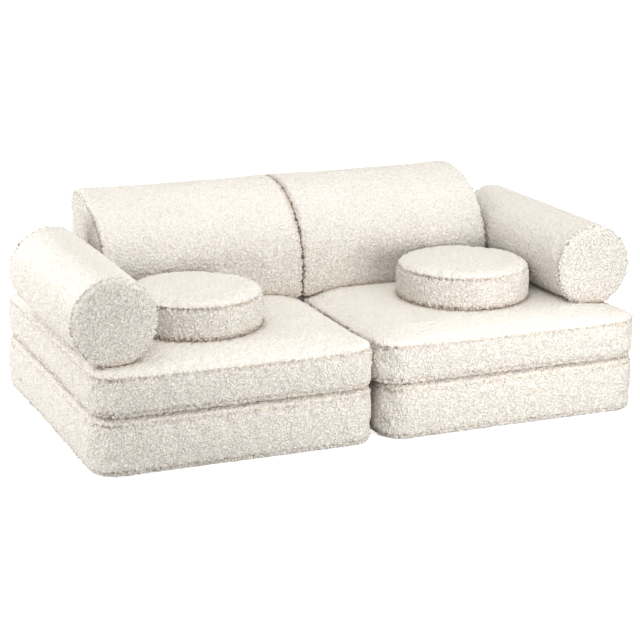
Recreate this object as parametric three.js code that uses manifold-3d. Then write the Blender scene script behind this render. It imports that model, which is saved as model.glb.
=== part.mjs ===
// Modular foam sofa for children, in millimetres, +Z up, the front facing -Y.
// Two modules stand side by side. Each has a thick base block, a thinner seat mattress on it,
// a backrest with a rolled front, a bolster along the outer side, and a loose round cushion.
// All ten are made alike: a foam core in a removable plush cover, which closes with a coil zip.
// The zip's slider has no pull tab, so that a child can't open it.
import * as THREE from "three";
import Module from "manifold-3d";
import { mergeVertices } from "three/addons/utils/BufferGeometryUtils.js";

const wasm = await Module();
wasm.setup();

// Fit between pieces
const FIT_GAP = 0.3;
const FOAM_CLEARANCE = 0.5;
const MODULE_GAP = 17;
const BACKREST_GAP = 0.6;
const CUT_OVERRUN = 6;

// Cover: a plush wall, counted from the tips of the pile to the backing, drawn in by its seams
// and tucked in round its underside
const COVER_WALL = 7;
const SEAM_DRAW = 2.5;
const UNDERSIDE_TUCK = 5;

// Base block
const MODULE_DEPTH = 835;
const BASE_WIDTH = 708;
const BASE_HEIGHT = 140;
const BASE_CORNER_RADIUS = 70;
const BASE_SIDE_DRAW = 3;
const BASE_TOP_SEAM_DROP = 17;
const BASE_BOTTOM_SEAM_RISE = 10;
const BASE_EDGE_ROLL = 24;
const BASE_TOP_REACH = 60;
const BASE_ZIP_HEIGHT = 50;
const BASE_ZIP_SIDE_LENGTH = 170;

// Seat mattress, whose top panel is crowned over its foam
const MATTRESS_WIDTH = 706;
const MATTRESS_HEIGHT = 116;
const MATTRESS_CORNER_RADIUS = 72;
const MATTRESS_SIDE_DRAW = 4;
const MATTRESS_TOP_SEAM_DROP = 24;
const MATTRESS_BOTTOM_SEAM_RISE = 10;
const MATTRESS_CROWN = 10;
const MATTRESS_CROWN_REACH = 95;
const MATTRESS_EDGE_ROLL = 22;
const MATTRESS_ZIP_HEIGHT = 50;
const MATTRESS_ZIP_LENGTH = 500;
const LEFT_MATTRESS_SHIFT = 3;
const RIGHT_MATTRESS_SHIFT = 2;

// Backrest: flat back and underside, rolled front and top, flat end panels
const BACKREST_LENGTH = 533;
const BACKREST_DEPTH = 303;
const BACKREST_HEIGHT = 266;
const BACKREST_ROLL_DEPTH = 240;
const BACKREST_ROLL_HEIGHT = 206;
const BACKREST_FOOT_RADIUS = 9;
const BACKREST_HEEL_RADIUS = 12;
const BACKREST_TOP_BACK_RADIUS = 42;
const BACKREST_CROWN = 4;
const BACKREST_END_DOME = 3;
const BACKREST_END_SEAM_INSET = 8;
const BACKREST_END_ROLL = 16;
const BACKREST_END_PANEL_INSET = 50;
const BACKREST_SHIFT = -6.5;
const BACKREST_FROM_REAR = 46;
const BACKREST_ZIP_LENGTH = 430;
const BACKREST_ZIP_HEIGHT = 34;

// Bolster: a cylinder that lies along the seat's outer side, flat where it rests
const BOLSTER_RADIUS = 103;
const BOLSTER_LENGTH = 578;
const BOLSTER_END_ROLL = 14;
const BOLSTER_END_SEAM_INSET = 7;
const BOLSTER_END_DOME = 4;
const BOLSTER_ZIP_LENGTH = 460;
const LEFT_BOLSTER_SAG = 3;
const LEFT_BOLSTER_SETTLE = 0.45;
const LEFT_BOLSTER_TO_BACKREST = 2.7;
const LEFT_BOLSTER_FROM_FRONT = 48;
const RIGHT_BOLSTER_SAG = 8;
const RIGHT_BOLSTER_TO_BACKREST = 1.6;
const RIGHT_BOLSTER_FROM_FRONT = 120;
const RIGHT_BOLSTER_TURN = 1.2;

// Round cushion: a disc with a crowned top
const ROUND_RADIUS = 168;
const ROUND_HEIGHT = 102;
const ROUND_CROWN = 6;
const ROUND_CROWN_REACH = 110;
const ROUND_TOP_SEAM_DROP = 18;
const ROUND_BOTTOM_SEAM_RISE = 10;
const ROUND_EDGE_ROLL = 20;
const ROUND_ZIP_ARC = 140;
const LEFT_ROUND_TO_BOLSTER = 1.5;
const LEFT_ROUND_TO_BACKREST = 16;
const RIGHT_ROUND_TO_BOLSTER = 10.5;
const RIGHT_ROUND_TO_BACKREST = 7;

// Coil zip, and its slider without a pull tab
const ZIP_SLOT_HEIGHT = 12;
const ZIP_TAPE_SINK = 4.8;
const ZIP_TAPE_THICKNESS = 1.2;
const ZIP_COIL_WIDTH = 4.4;
const ZIP_COIL_THICKNESS = 1.4;
const SLIDER_LENGTH = 11;
const SLIDER_WIDTH = 9;
const SLIDER_NOSE_WIDTH = 6;
const SLIDER_NOSE_LENGTH = 4;
const SLIDER_PLATE_THICKNESS = 1.1;
const SLIDER_FLANGE_DEPTH = 0.9;
const SLIDER_LUG_LENGTH = 6;
const SLIDER_LUG_WIDTH = 2.2;
const SLIDER_LUG_RISE = 1.5;
const SLIDER_END_MARGIN = 3;

// Facet counts
const CORNER_STEPS = 5;
const INNER_CORNER_STEPS = 4;
const EDGE_STEPS = 3;
const ROLL_STEPS = 8;
const SMALL_ARC_STEPS = 3;
const INNER_ROLL_STEPS = 5;
const BOLSTER_SIDES = 32;
const BOLSTER_ZIP_FACET = 11;
const ROUND_SIDES = 36;
const INNER_SIDES = 24;
const ROUND_ZIP_STEPS = 14;

// Shares of the pieces' own sizes, chosen by eye
const ROLL_INSET_SHARES = [0.1, 0.34, 0.66, 1];
const ROLL_DROP_SHARES = [0.72, 0.4, 0.17, 0.04];
const CROWN_INSET_SHARES = [0.3, 1];
const CROWN_RISE_SHARES = [0.7, 1];
const HALF_SHARE = 0.5;
const TUCK_RISE_SHARE = 0.33;
const CORNER_LEAST_SHARE = 0.1;
const END_PANEL_SHARE = 0.6;
const MIDDLE_HEIGHT_SHARE = 0.42;

// Materials
const plush = new THREE.MeshStandardMaterial({ color: 0xf1e8dd, roughness: 0.95, metalness: 0 });
const foam = new THREE.MeshStandardMaterial({ color: 0xf3efe2, roughness: 0.9, metalness: 0 });
const zipTape = new THREE.MeshStandardMaterial({ color: 0xeee6d8, roughness: 0.8, metalness: 0 });
const nickel = new THREE.MeshStandardMaterial({ color: 0xb9b6ae, roughness: 0.35, metalness: 0.9 });

// Closed surface from rings of [x, y, z] points, each ring with the same count,
// running anticlockwise as seen from beyond the last ring. Each end closes on a middle point.
function closeRings(rings, firstMiddle, lastMiddle) {
  const count = rings[0].length;
  const last = rings.length * count + 1;
  const at = (ring, i) => 1 + ring * count + (i % count);
  const index = [];
  for (let i = 0; i < count; i += 1) {
    index.push(0, at(0, i + 1), at(0, i));
    index.push(last, at(rings.length - 1, i), at(rings.length - 1, i + 1));
  }
  for (let ring = 0; ring + 1 < rings.length; ring += 1) {
    for (let i = 0; i < count; i += 1) {
      index.push(at(ring, i), at(ring, i + 1), at(ring + 1, i + 1));
      index.push(at(ring, i), at(ring + 1, i + 1), at(ring + 1, i));
    }
  }
  const geometry = new THREE.BufferGeometry();
  const positions = [firstMiddle, ...rings.flat(), lastMiddle].flat();
  geometry.setAttribute("position", new THREE.Float32BufferAttribute(positions, 3));
  geometry.setIndex(index);
  geometry.computeVertexNormals();
  return geometry;
}

// Booleans on closed geometries
function toSolid(geometry) {
  const bare = geometry.clone();
  bare.deleteAttribute("normal");
  bare.deleteAttribute("uv");
  const merged = mergeVertices(bare);
  return new wasm.Manifold(new wasm.Mesh({
    numProp: 3,
    vertProperties: new Float32Array(merged.attributes.position.array),
    triVerts: new Uint32Array(merged.index.array),
  }));
}

function toGeometry(solid) {
  const mesh = solid.getMesh();
  const geometry = new THREE.BufferGeometry();
  const positions = new Float32Array(mesh.vertProperties);
  geometry.setAttribute("position", new THREE.BufferAttribute(positions, 3));
  geometry.setIndex(new THREE.BufferAttribute(new Uint32Array(mesh.triVerts), 1));
  geometry.computeVertexNormals();
  return geometry;
}

// Cover: the outer form less its hollow, opened by the zip's slot
function cutCover(outer, hollow, slot) {
  return toGeometry(toSolid(outer).subtract(toSolid(hollow)).subtract(toSolid(slot)));
}

// Points on an arc or a quarter of an ellipse, between two angles
function arc(centre, radii, from, to, steps) {
  return Array.from({ length: steps + 1 }, (_, i) => {
    const angle = from + ((to - from) * i) / steps;
    return [centre[0] + radii[0] * Math.cos(angle), centre[1] + radii[1] * Math.sin(angle)];
  });
}

// Plan outline of a boxed cushion, anticlockwise from its front left corner.
// The front and the sides are drawn in between their corners, and the back is straight.
function boxOutline(size, inset, cornerSteps) {
  const radius = Math.max(size.cornerRadius - inset, size.cornerRadius * CORNER_LEAST_SHARE);
  const x = size.width / 2 - inset - radius;
  const y = size.depth / 2 - inset - radius;
  const corners = [
    { at: [-x, -y], start: -Math.PI, inward: [0, 1], draw: size.sideDraw },
    { at: [x, -y], start: -Math.PI / 2, inward: [-1, 0], draw: size.sideDraw },
    { at: [x, y], start: 0, inward: [0, -1], draw: 0 },
    { at: [-x, y], start: Math.PI / 2, inward: [1, 0], draw: size.sideDraw },
  ];
  const arcs = corners.map(({ at, start }) => (
    arc(at, [radius, radius], start, start + Math.PI / 2, cornerSteps)
  ));
  return arcs.flatMap((cornerArc, i) => {
    const from = cornerArc[cornerSteps];
    const to = arcs[(i + 1) % arcs.length][0];
    const edge = [];
    for (let step = 1; step < EDGE_STEPS; step += 1) {
      const along = step / EDGE_STEPS;
      const pull = corners[i].draw * Math.sin(Math.PI * along);
      edge.push([0, 1].map((k) => (
        from[k] + (to[k] - from[k]) * along + corners[i].inward[k] * pull
      )));
    }
    return [...cornerArc, ...edge];
  });
}

// Plan outline of a round cushion
function roundOutline(size, inset, sides) {
  const radius = size.radius - inset;
  return arc([0, 0], [radius, radius], 0, 2 * Math.PI, sides).slice(0, sides);
}

// Outer form of a cushion with top, bottom and side panels: flat underside, sides drawn in
// at both seams, rolled top edge, and a top that rises by its crown to a flat middle
function cushionForm(size, outline) {
  const ring = (inset, z) => outline(inset).map(([x, y]) => [x, y, z]);
  const shoulder = size.height - size.crown;
  const rollHeight = size.topSeamDrop - size.crown;
  const rings = [
    ring(size.edgeRoll, 0),
    ring(UNDERSIDE_TUCK, size.bottomSeamRise * TUCK_RISE_SHARE),
    ring(SEAM_DRAW, size.bottomSeamRise),
    ring(0, size.height * HALF_SHARE),
    ring(SEAM_DRAW, size.height - size.topSeamDrop),
    ...ROLL_INSET_SHARES.map((share, i) => (
      ring(size.edgeRoll * share, shoulder - rollHeight * ROLL_DROP_SHARES[i])
    )),
    ...CROWN_INSET_SHARES.map((share, i) => ring(
      size.edgeRoll + (size.crownReach - size.edgeRoll) * share,
      shoulder + size.crown * CROWN_RISE_SHARES[i],
    )),
  ];
  return closeRings(rings, [0, 0, 0], [0, 0, size.height]);
}

// Foam block of such a cushion, set in from the outer sizes on all sides
function cushionFoam(size, outline, inset) {
  const ring = (extra, z) => outline(inset + extra).map(([x, y]) => [x, y, z]);
  const top = size.height - inset;
  const shoulder = top - size.crown;
  const bevel = size.edgeRoll * HALF_SHARE;
  const rings = [
    ring(bevel, inset),
    ring(0, inset + bevel),
    ring(0, shoulder - bevel),
    ring(bevel, shoulder),
    ring(size.crownReach, top),
  ];
  return closeRings(rings, [0, 0, inset], [0, 0, top]);
}

// Side view of the backrest, y from its front and z from its underside: from the heel up
// the flat back, over the top, down the rolled front and round the foot. An inset sets it in
// all round, and an ease lowers only the front and the top.
function backrestProfile(inset, ease, rollSteps, arcSteps) {
  const low = inset;
  const front = inset + ease;
  const back = BACKREST_DEPTH - inset;
  const top = BACKREST_HEIGHT - inset - ease;
  const heel = Math.max(BACKREST_HEEL_RADIUS - inset, FIT_GAP);
  const foot = Math.max(BACKREST_FOOT_RADIUS - inset, FIT_GAP);
  const topBack = BACKREST_TOP_BACK_RADIUS - inset;
  const roll = [BACKREST_ROLL_DEPTH - inset, BACKREST_ROLL_HEIGHT - inset];
  const quarter = Math.PI / 2;
  return [
    ...arc([back - heel, low + heel], [heel, heel], -quarter, 0, arcSteps),
    ...arc([back - topBack, top - topBack], [topBack, topBack], 0, quarter, arcSteps),
    ...arc([front + roll[0], top - roll[1]], roll, quarter, 2 * quarter, rollSteps),
    ...arc([front + foot, low + foot], [foot, foot], 2 * quarter, 3 * quarter, arcSteps),
  ];
}

// Form made of side views set in about a middle point, one at each place along X
function sectionsAlongX(sections, middle, endDome) {
  const rings = sections.map(({ x, inset, profile }) => profile.map(([y, z]) => {
    const share = 1 - inset / Math.hypot(y - middle[0], z - middle[1]);
    return [x, middle[0] + (y - middle[0]) * share, middle[1] + (z - middle[1]) * share];
  }));
  const firstX = sections[0].x - endDome;
  const lastX = sections[sections.length - 1].x + endDome;
  return closeRings(rings, [firstX, ...middle], [lastX, ...middle]);
}

const BACKREST_MIDDLE = [BACKREST_DEPTH * HALF_SHARE, BACKREST_HEIGHT * MIDDLE_HEIGHT_SHARE];

// Outer form of the backrest: domed end panels drawn in at their seams, ends rolled over
// to them, and a slight crown along the front and the top
function backrestForm() {
  const half = BACKREST_LENGTH / 2;
  const end = half - BACKREST_END_DOME;
  const eased = backrestProfile(0, BACKREST_CROWN, ROLL_STEPS, SMALL_ARC_STEPS);
  const full = backrestProfile(0, 0, ROLL_STEPS, SMALL_ARC_STEPS);
  const seamInset = BACKREST_END_SEAM_INSET;
  const ends = [
    { x: end, inset: BACKREST_END_PANEL_INSET, profile: eased },
    { x: end - SEAM_DRAW, inset: seamInset, profile: eased },
    { x: end - SEAM_DRAW * HALF_SHARE, inset: seamInset * HALF_SHARE, profile: eased },
    { x: half - BACKREST_END_ROLL, inset: 0, profile: eased },
  ];
  const sections = [
    ...ends.map((section) => ({ ...section, x: -section.x })),
    { x: 0, inset: 0, profile: full },
    ...ends.reverse(),
  ];
  return sectionsAlongX(sections, BACKREST_MIDDLE, BACKREST_END_DOME);
}

// Foam block of the backrest
function backrestFoam(inset) {
  const half = BACKREST_LENGTH / 2 - BACKREST_END_DOME - inset;
  const profile = backrestProfile(inset, BACKREST_CROWN, INNER_ROLL_STEPS, 1);
  const bevel = BACKREST_END_ROLL * HALF_SHARE;
  const sections = [
    { x: -half, inset: bevel, profile },
    { x: bevel - half, inset: 0, profile },
    { x: half - bevel, inset: 0, profile },
    { x: half, inset: bevel, profile },
  ];
  return sectionsAlongX(sections, BACKREST_MIDDLE, 0);
}

// Form round the Y axis, with rings given as [y, radius], pressed flat at a floor under the axis
function pressedRound(rings, firstY, lastY, sides, floor) {
  const points = rings.map(([y, radius]) => (
    arc([0, 0], [radius, radius], 0, 2 * Math.PI, sides).slice(0, sides)
      .map(([z, x]) => [x, y, Math.max(z, floor)])
  ));
  return closeRings(points, [0, firstY, 0], [0, lastY, 0]);
}

// Outer form of the bolster: domed end discs drawn in at their seams, ends rolled over to them
function bolsterForm(sag) {
  const seamRadius = BOLSTER_RADIUS - BOLSTER_END_SEAM_INSET;
  const ends = [
    [BOLSTER_END_DOME * HALF_SHARE, BOLSTER_RADIUS * END_PANEL_SHARE],
    [BOLSTER_END_DOME + SEAM_DRAW, seamRadius],
    [BOLSTER_END_DOME + SEAM_DRAW * HALF_SHARE, seamRadius + SEAM_DRAW],
    [BOLSTER_END_DOME + BOLSTER_END_ROLL, BOLSTER_RADIUS],
  ];
  const rings = [...ends, ...ends.map(([y, radius]) => [BOLSTER_LENGTH - y, radius]).reverse()];
  const floor = sag - BOLSTER_RADIUS;
  return pressedRound(rings, 0, BOLSTER_LENGTH, BOLSTER_SIDES, floor);
}

// Foam core of the bolster
function bolsterFoam(inset, sag) {
  const radius = BOLSTER_RADIUS - inset;
  const bevel = BOLSTER_END_ROLL * HALF_SHARE;
  const end = BOLSTER_END_DOME + inset;
  const ends = [[end, radius - bevel], [end + bevel, radius]];
  const rings = [...ends, ...ends.map(([y, ring]) => [BOLSTER_LENGTH - y, ring]).reverse()];
  const floor = sag - radius;
  return pressedRound(rings, end, BOLSTER_LENGTH - end, INNER_SIDES, floor);
}

// Strip swept along a zip. Each stop on the path has its place on the cover's face, the way out
// of that face, and the way across the zip. A section is a list of [out, across] points.
function sweepZip(path, section, middle) {
  const place = ({ at, out, across }, [o, a]) => at.map((v, k) => v + out[k] * o + across[k] * a);
  const rings = path.map((stop) => section.map((point) => place(stop, point)));
  return closeRings(rings, place(path[0], middle), place(path[path.length - 1], middle));
}

// Path with its two ends moved outwards
function lengthen(path, extra) {
  const moved = (end, next) => {
    const direction = new THREE.Vector3(...end.at).sub(new THREE.Vector3(...next.at)).normalize();
    const at = new THREE.Vector3(...end.at).addScaledVector(direction, extra).toArray();
    return { ...end, at };
  };
  const last = path.length - 1;
  return [moved(path[0], path[1]), ...path.slice(1, last), moved(path[last], path[last - 1])];
}

// Zip tapes with the coil along their middle
function zipStrip(path) {
  const face = -ZIP_TAPE_SINK;
  const back = face - ZIP_TAPE_THICKNESS;
  const crest = face + ZIP_COIL_THICKNESS;
  const edge = ZIP_SLOT_HEIGHT / 2 - FIT_GAP;
  const coil = ZIP_COIL_WIDTH / 2;
  const section = [
    [back, -edge],
    [face, -edge],
    [face, -coil],
    [crest, -coil],
    [crest, coil],
    [face, coil],
    [face, edge],
    [back, edge],
  ];
  return sweepZip(path, section, [(face + back) / 2, 0]);
}

// Cutter for the slot that the zip closes
function zipSlot(path) {
  const edge = ZIP_SLOT_HEIGHT / 2;
  const deep = -COVER_WALL - CUT_OVERRUN;
  const section = [[deep, -edge], [CUT_OVERRUN, -edge], [CUT_OVERRUN, edge], [deep, edge]];
  return sweepZip(lengthen(path, FIT_GAP), section, [-COVER_WALL, 0]);
}

// Slider, x along the zip, y across it, z out of the cover's face: a plate tapered to its nose,
// a flange on each side of the coil, and the small lug where a pull would hang
function zipSlider() {
  const half = SLIDER_LENGTH / 2;
  const shoulder = half - SLIDER_NOSE_LENGTH;
  const wide = SLIDER_WIDTH / 2;
  const narrow = SLIDER_NOSE_WIDTH / 2;
  const under = ZIP_COIL_THICKNESS + FIT_GAP - ZIP_TAPE_SINK;
  const outline = new THREE.Shape();
  outline.moveTo(-half, -wide);
  outline.lineTo(shoulder, -wide);
  outline.lineTo(half, -narrow);
  outline.lineTo(half, narrow);
  outline.lineTo(shoulder, wide);
  outline.lineTo(-half, wide);
  const plate = new THREE.ExtrudeGeometry(outline, {
    depth: SLIDER_PLATE_THICKNESS,
    bevelEnabled: false,
  });
  plate.translate(0, 0, under);

  const flangeInner = ZIP_COIL_WIDTH / 2 + FIT_GAP;
  const flangeWidth = wide - flangeInner;
  const flangeHeight = SLIDER_FLANGE_DEPTH + SLIDER_PLATE_THICKNESS * HALF_SHARE;
  const flangeLength = half + shoulder;
  const flanges = [-1, 1].map((side) => {
    const flange = new THREE.BoxGeometry(flangeLength, flangeWidth, flangeHeight);
    flange.translate(
      (shoulder - half) / 2,
      side * (flangeInner + flangeWidth / 2),
      under - SLIDER_FLANGE_DEPTH + flangeHeight / 2,
    );
    return flange;
  });

  const lugOutline = new THREE.Shape();
  const lugHalf = SLIDER_LUG_LENGTH / 2;
  const lugHole = lugHalf * HALF_SHARE;
  lugOutline.moveTo(lugHalf, 0);
  lugOutline.absellipse(0, 0, lugHalf, SLIDER_LUG_RISE, 0, Math.PI, false, 0);
  lugOutline.lineTo(-lugHole, 0);
  lugOutline.absellipse(0, 0, lugHole, SLIDER_LUG_RISE * HALF_SHARE, Math.PI, 0, true, 0);
  const lug = new THREE.ExtrudeGeometry(lugOutline, {
    depth: SLIDER_LUG_WIDTH,
    bevelEnabled: false,
    curveSegments: SMALL_ARC_STEPS * 2,
  });
  lug.rotateX(Math.PI / 2);
  lug.translate(0, SLIDER_LUG_WIDTH / 2, under + SLIDER_PLATE_THICKNESS * HALF_SHARE);

  return toGeometry([...flanges, lug].reduce(
    (solid, piece) => solid.add(toSolid(piece)),
    toSolid(plate),
  ));
}

// Straight zip path between two points on a flat face
function straightPath(from, to, out, across) {
  return [from, to].map((at) => ({ at, out, across }));
}

// Zip path along a boxed cushion's back, and round its back corners where it has a side length
function boxedZipPath(size) {
  const back = size.depth / 2;
  const up = [0, 0, 1];
  const z = size.zipHeight;
  if (!size.zipSideLength) {
    const reach = size.zipLength / 2;
    return straightPath([-reach, back, z], [reach, back, z], [0, 1, 0], up);
  }
  const side = size.width / 2;
  const centreX = side - size.cornerRadius;
  const centreY = back - size.cornerRadius;
  const sideEnd = centreY - size.zipSideLength;
  const stop = (sign, angle) => ({
    at: [
      sign * (centreX + size.cornerRadius * Math.cos(angle)),
      centreY + size.cornerRadius * Math.sin(angle),
      z,
    ],
    out: [sign * Math.cos(angle), Math.sin(angle), 0],
    across: up,
  });
  const turn = Array.from(
    { length: INNER_CORNER_STEPS + 1 },
    (_, i) => ((Math.PI / 2) * i) / INNER_CORNER_STEPS,
  );
  return [
    { at: [-side, sideEnd, z], out: [-1, 0, 0], across: up },
    ...turn.map((angle) => stop(-1, angle)),
    ...turn.reverse().map((angle) => stop(1, angle)),
    { at: [side, sideEnd, z], out: [1, 0, 0], across: up },
  ];
}

// Zip path round the back of a round cushion's side
function roundZipPath(size) {
  const middle = Math.PI / 2;
  const reach = THREE.MathUtils.degToRad(size.zipArc) / 2;
  return Array.from({ length: ROUND_ZIP_STEPS + 1 }, (_, i) => {
    const angle = middle + reach - (2 * reach * i) / ROUND_ZIP_STEPS;
    const out = [Math.cos(angle), Math.sin(angle), 0];
    const at = [out[0] * size.radius, out[1] * size.radius, size.zipHeight];
    return { at, out, across: [0, 0, 1] };
  });
}

// One cushion as a group of four pieces: cover, foam, zip and slider.
// The slider rests near the first end of its travel.
function assemble(name, parts) {
  const group = new THREE.Group();
  const add = (suffix, geometry, material) => {
    const mesh = new THREE.Mesh(geometry, material);
    mesh.name = `${name}_${suffix}`;
    group.add(mesh);
    return mesh;
  };
  add("cover", cutCover(parts.outer, parts.hollow, zipSlot(parts.zipPath)), plush);
  add("foam", parts.foam, foam);
  add("zip", zipStrip(parts.zipPath), zipTape);
  const slider = add("zip_slider", zipSlider(), nickel);
  const { at, out, across } = parts.sliderStop;
  const outward = new THREE.Vector3(...out);
  const crossing = new THREE.Vector3(...across).negate();
  const along = new THREE.Vector3().crossVectors(crossing, outward);
  slider.quaternion.setFromRotationMatrix(
    new THREE.Matrix4().makeBasis(along, crossing, outward),
  );
  slider.position.set(...at);
  return group;
}

// Boxed cushion, its origin under its middle
function boxedCushion(name, size) {
  const outline = (inset) => boxOutline(size, inset, CORNER_STEPS);
  const innerOutline = (inset) => boxOutline(size, inset, INNER_CORNER_STEPS);
  const travelStart = SLIDER_END_MARGIN + SLIDER_LENGTH / 2 - sliderReach(size);
  return assemble(name, {
    outer: cushionForm(size, outline),
    hollow: cushionFoam(size, innerOutline, COVER_WALL),
    foam: cushionFoam(size, innerOutline, COVER_WALL + FOAM_CLEARANCE),
    zipPath: boxedZipPath(size),
    sliderStop: {
      at: [travelStart, size.depth / 2, size.zipHeight],
      out: [0, 1, 0],
      across: [0, 0, 1],
    },
  });
}

// Half the straight stretch of zip that a boxed cushion's slider runs along
function sliderReach(size) {
  return size.zipSideLength ? size.width / 2 - size.cornerRadius : size.zipLength / 2;
}

const BASE = {
  width: BASE_WIDTH,
  depth: MODULE_DEPTH,
  height: BASE_HEIGHT,
  cornerRadius: BASE_CORNER_RADIUS,
  sideDraw: BASE_SIDE_DRAW,
  topSeamDrop: BASE_TOP_SEAM_DROP,
  bottomSeamRise: BASE_BOTTOM_SEAM_RISE,
  edgeRoll: BASE_EDGE_ROLL,
  crown: 0,
  crownReach: BASE_TOP_REACH,
  zipHeight: BASE_ZIP_HEIGHT,
  zipSideLength: BASE_ZIP_SIDE_LENGTH,
};

const MATTRESS = {
  width: MATTRESS_WIDTH,
  depth: MODULE_DEPTH,
  height: MATTRESS_HEIGHT,
  cornerRadius: MATTRESS_CORNER_RADIUS,
  sideDraw: MATTRESS_SIDE_DRAW,
  topSeamDrop: MATTRESS_TOP_SEAM_DROP,
  bottomSeamRise: MATTRESS_BOTTOM_SEAM_RISE,
  edgeRoll: MATTRESS_EDGE_ROLL,
  crown: MATTRESS_CROWN,
  crownReach: MATTRESS_CROWN_REACH,
  zipHeight: MATTRESS_ZIP_HEIGHT,
  zipLength: MATTRESS_ZIP_LENGTH,
};

const ROUND = {
  radius: ROUND_RADIUS,
  height: ROUND_HEIGHT,
  topSeamDrop: ROUND_TOP_SEAM_DROP,
  bottomSeamRise: ROUND_BOTTOM_SEAM_RISE,
  edgeRoll: ROUND_EDGE_ROLL,
  crown: ROUND_CROWN,
  crownReach: ROUND_CROWN_REACH,
  zipHeight: ROUND_HEIGHT * HALF_SHARE,
  zipArc: ROUND_ZIP_ARC,
};

// Backrest, its origin under the middle of its front
function backrest(name) {
  const reach = BACKREST_ZIP_LENGTH / 2;
  const at = (x) => [x, BACKREST_DEPTH, BACKREST_ZIP_HEIGHT];
  const out = [0, 1, 0];
  const across = [0, 0, 1];
  return assemble(name, {
    outer: backrestForm(),
    hollow: backrestFoam(COVER_WALL),
    foam: backrestFoam(COVER_WALL + FOAM_CLEARANCE),
    zipPath: straightPath(at(-reach), at(reach), out, across),
    sliderStop: { at: at(SLIDER_END_MARGIN + SLIDER_LENGTH / 2 - reach), out, across },
  });
}

// Bolster, its origin in the middle of its front end. The zip runs along one facet, low on
// the outer side, counted round from the top towards the side that it is on.
function bolster(name, side, sag) {
  const turn = ((BOLSTER_ZIP_FACET + HALF_SHARE) / BOLSTER_SIDES) * 2 * Math.PI;
  const face = BOLSTER_RADIUS * Math.cos(Math.PI / BOLSTER_SIDES);
  const out = [side * Math.sin(turn), 0, Math.cos(turn)];
  const across = [Math.cos(turn), 0, -side * Math.sin(turn)];
  const start = (BOLSTER_LENGTH - BOLSTER_ZIP_LENGTH) / 2;
  const at = (y) => [out[0] * face, y, out[2] * face];
  return assemble(name, {
    outer: bolsterForm(sag),
    hollow: bolsterFoam(COVER_WALL, sag),
    foam: bolsterFoam(COVER_WALL + FOAM_CLEARANCE, sag),
    zipPath: straightPath(at(start), at(start + BOLSTER_ZIP_LENGTH), out, across),
    sliderStop: { at: at(start + SLIDER_END_MARGIN + SLIDER_LENGTH / 2), out, across },
  });
}

// Round cushion, its origin under its middle
function roundCushion(name) {
  const outline = (inset) => roundOutline(ROUND, inset, ROUND_SIDES);
  const innerOutline = (inset) => roundOutline(ROUND, inset, INNER_SIDES);
  const margin = (SLIDER_END_MARGIN + SLIDER_LENGTH / 2) / ROUND_RADIUS;
  const angle = Math.PI / 2 + THREE.MathUtils.degToRad(ROUND_ZIP_ARC) / 2 - margin;
  const out = [Math.cos(angle), Math.sin(angle), 0];
  return assemble(name, {
    outer: cushionForm(ROUND, outline),
    hollow: cushionFoam(ROUND, innerOutline, COVER_WALL),
    foam: cushionFoam(ROUND, innerOutline, COVER_WALL + FOAM_CLEARANCE),
    zipPath: roundZipPath(ROUND),
    sliderStop: {
      at: [out[0] * ROUND_RADIUS, out[1] * ROUND_RADIUS, ROUND.zipHeight],
      out,
      across: [0, 0, 1],
    },
  });
}

// Places in the sofa, x from the split between the modules, y from the front, z from the floor.
// The bolsters lie beside the backrests' outer ends, and the round cushions lie in the corners
// between the two.
const MIDDLE_Y = MODULE_DEPTH / 2;
const BASE_X = (BASE_WIDTH + MODULE_GAP) / 2;
const MATTRESS_LEVEL = BASE_HEIGHT + FIT_GAP;
const SEAT_LEVEL = MATTRESS_LEVEL + MATTRESS_HEIGHT + FIT_GAP;
const BACKREST_X = (BACKREST_LENGTH + BACKREST_GAP) / 2;
const BACKREST_FRONT = MODULE_DEPTH - BACKREST_FROM_REAR - BACKREST_DEPTH;
const BACKREST_END = BACKREST_X + BACKREST_LENGTH / 2;
const BOLSTER_LEVEL = SEAT_LEVEL + BOLSTER_RADIUS;
const BOLSTER_TURN_REACH = BOLSTER_LENGTH * Math.sin(THREE.MathUtils.degToRad(RIGHT_BOLSTER_TURN));
const LEFT_BOLSTER_SIDE = BACKREST_SHIFT - BACKREST_END - LEFT_BOLSTER_TO_BACKREST;
const RIGHT_BOLSTER_SIDE = (
  BACKREST_SHIFT + BACKREST_END + RIGHT_BOLSTER_TO_BACKREST + BOLSTER_TURN_REACH
);

const sofa = new THREE.Group();

function put(group, x, y, z, turn = 0) {
  group.position.set(x, y, z);
  group.rotation.z = THREE.MathUtils.degToRad(turn);
  sofa.add(group);
}

put(boxedCushion("left_base", BASE), -BASE_X, MIDDLE_Y, 0);
put(boxedCushion("right_base", BASE), BASE_X, MIDDLE_Y, 0);
put(
  boxedCushion("left_mattress", MATTRESS),
  LEFT_MATTRESS_SHIFT - BASE_X,
  MIDDLE_Y,
  MATTRESS_LEVEL,
);
put(
  boxedCushion("right_mattress", MATTRESS),
  RIGHT_MATTRESS_SHIFT + BASE_X,
  MIDDLE_Y,
  MATTRESS_LEVEL,
);
put(backrest("left_backrest"), BACKREST_SHIFT - BACKREST_X, BACKREST_FRONT, SEAT_LEVEL);
put(backrest("right_backrest"), BACKREST_SHIFT + BACKREST_X, BACKREST_FRONT, SEAT_LEVEL);
put(
  bolster("left_bolster", -1, LEFT_BOLSTER_SAG),
  LEFT_BOLSTER_SIDE - BOLSTER_RADIUS,
  LEFT_BOLSTER_FROM_FRONT,
  BOLSTER_LEVEL - LEFT_BOLSTER_SAG - LEFT_BOLSTER_SETTLE,
);
put(
  bolster("right_bolster", 1, RIGHT_BOLSTER_SAG),
  RIGHT_BOLSTER_SIDE + BOLSTER_RADIUS,
  RIGHT_BOLSTER_FROM_FRONT,
  BOLSTER_LEVEL - RIGHT_BOLSTER_SAG,
  RIGHT_BOLSTER_TURN,
);
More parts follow.
